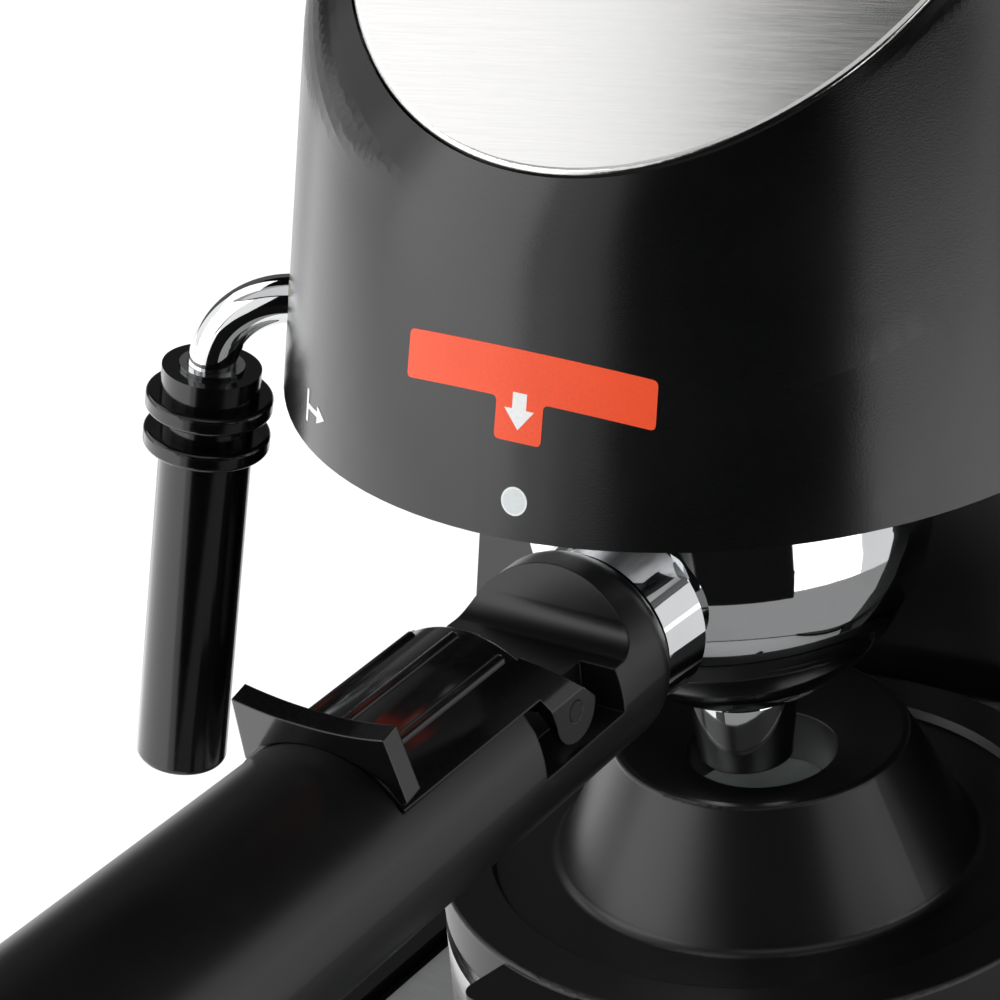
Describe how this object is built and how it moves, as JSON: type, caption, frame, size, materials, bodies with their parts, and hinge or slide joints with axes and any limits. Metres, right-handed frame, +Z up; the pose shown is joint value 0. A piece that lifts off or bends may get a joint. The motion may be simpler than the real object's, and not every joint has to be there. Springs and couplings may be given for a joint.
{
  "type": "steam espresso machine",
  "caption": "Countertop steam espresso machine with a bayonet filter holder, frothing wand, drip tray and lidded glass carafe.",
  "frame": {"origin": "centre of the overall box, on the table under the rubber feet", "axes": "+X to the machine's right, -Y out of the front along the holder's handle, +Z up along the brew axis"},
  "size_m": [0.191, 0.3385, 0.314],
  "materials": {
    "black_shell": "fine satin moulding",
    "black_grip": "matte heat-proof moulding",
    "black_gloss": "polished",
    "brushed": "brushed",
    "polished": "mirror plated",
    "bare_alloy": "cast and turned",
    "yellow_metal": "turned",
    "fasteners": "zinc plated",
    "seals": "matte",
    "clear_glass": "clear",
    "lamp_red": "translucent"
  },
  "bodies": {
    "machine": {"base_shell": "black_shell", "bottom_plate": "black_shell", "rubber_feet": "seals", "bottom_screws": "fasteners", "cord_gland": "black_shell", "tower_shell": "black_shell", "head_shell": "black_shell", "head_floor": "black_shell", "top_panel": "brushed", "filler_collar": "black_grip", "brew_head": "bare_alloy", "group_screws": "fasteners", "group_gasket": "seals", "shower_screen": "brushed", "screen_screw": "fasteners", "boiler": "bare_alloy", "heater_ring": "bare_alloy", "thermostats": "bare_alloy", "wand_bush": "yellow_metal", "steam_valve": "yellow_metal", "steam_pipe": "yellow_metal", "switch_frame": "black_shell", "indicator_lens": "lamp_red"},
    "tray": {"drip_tray": "black_shell", "drip_grate": "brushed"},
    "carafe": {"carafe_glass": "clear_glass", "carafe_band": "brushed", "carafe_handle": "black_grip"},
    "lid": {"carafe_lid": "black_grip"},
    "holder": {"holder_bowl": "polished", "holder_spout": "polished", "filter_basket": "brushed", "holder_handle": "black_grip", "handle_bolt": "fasteners", "clip_pins": "fasteners"},
    "clip": {"filter_clip": "black_gloss"},
    "wand": {"steam_tube": "polished", "steam_nozzle": "polished"},
    "sleeve": {"froth_sleeve": "black_gloss", "sleeve_ferrule": "polished"},
    "stopper": {"cap_plug": "yellow_metal", "cap_seal": "seals", "relief_spring": "fasteners"},
    "cap": {"boiler_cap": "black_grip"},
    "relief": {"relief_valve": "yellow_metal"},
    "knob": {"selector_knob": "black_grip", "valve_stem": "yellow_metal"},
    "rocker": {"power_rocker": "black_gloss"}
  },
  "joints": [
    {"name": "tray_slide", "type": "slide", "parent": "machine", "child": "tray", "axis": [0, -1, 0], "range_m": [0, 0.1]},
    {"name": "carafe_slide", "type": "slide", "parent": "tray", "child": "carafe", "axis": [0, -1, 0], "range_m": [0, 0.12]},
    {"name": "lid_twist", "type": "hinge", "parent": "carafe", "child": "lid", "pos_m": [-0.0025, 0.0442, 0.09], "axis": [0, 0, 1], "range_deg": [-60, 60]},
    {"name": "holder_turn", "type": "hinge", "parent": "machine", "child": "holder", "pos_m": [0, 0.0357, 0.19], "axis": [0, 0, 1], "range_deg": [-28, 6]},
    {"name": "clip_flip", "type": "hinge", "parent": "holder", "child": "clip", "pos_m": [0, -0.0313, 0.1575], "axis": [-1, 0, 0], "range_deg": [0, 55]},
    {"name": "wand_swing", "type": "hinge", "parent": "machine", "child": "wand", "pos_m": [0, 0.0357, 0.1925], "axis": [-0.8988, -0.4384, 0], "range_deg": [-20, 20]},
    {"name": "sleeve_pull", "type": "slide", "parent": "wand", "child": "sleeve", "axis": [-0.1653, -0.0806, -0.9829], "range_m": [0, 0.06]},
    {"name": "cap_lift", "type": "slide", "parent": "machine", "child": "stopper", "axis": [0, 0, 1], "range_m": [0, 0.0091]},
    {"name": "cap_turn", "type": "hinge", "parent": "stopper", "child": "cap", "pos_m": [0, 0.0497, 0.29], "axis": [0, 0, 1], "range_deg": [0, 1080]},
    {"name": "relief_lift", "type": "slide", "parent": "stopper", "child": "relief", "axis": [0, 0, 1], "range_m": [0, 0.0015], "stiffness_N_per_m": 800, "springref_m": -0.004, "deforming": ["relief_spring"]},
    {"name": "knob_turn", "type": "hinge", "parent": "machine", "child": "knob", "pos_m": [0.07, 0.0557, 0.216], "axis": [1, 0, 0], "range_deg": [-60, 60]},
    {"name": "rocker_tip", "type": "hinge", "parent": "machine", "child": "rocker", "pos_m": [0.08457, 0.1197, 0.074], "axis": [0, 1, 0], "range_deg": [0, 14]}
  ],
  "couplings": [
    {"joint": "cap_lift", "follows": "cap_turn", "m_per_rad": 0.00047746}
  ]
}
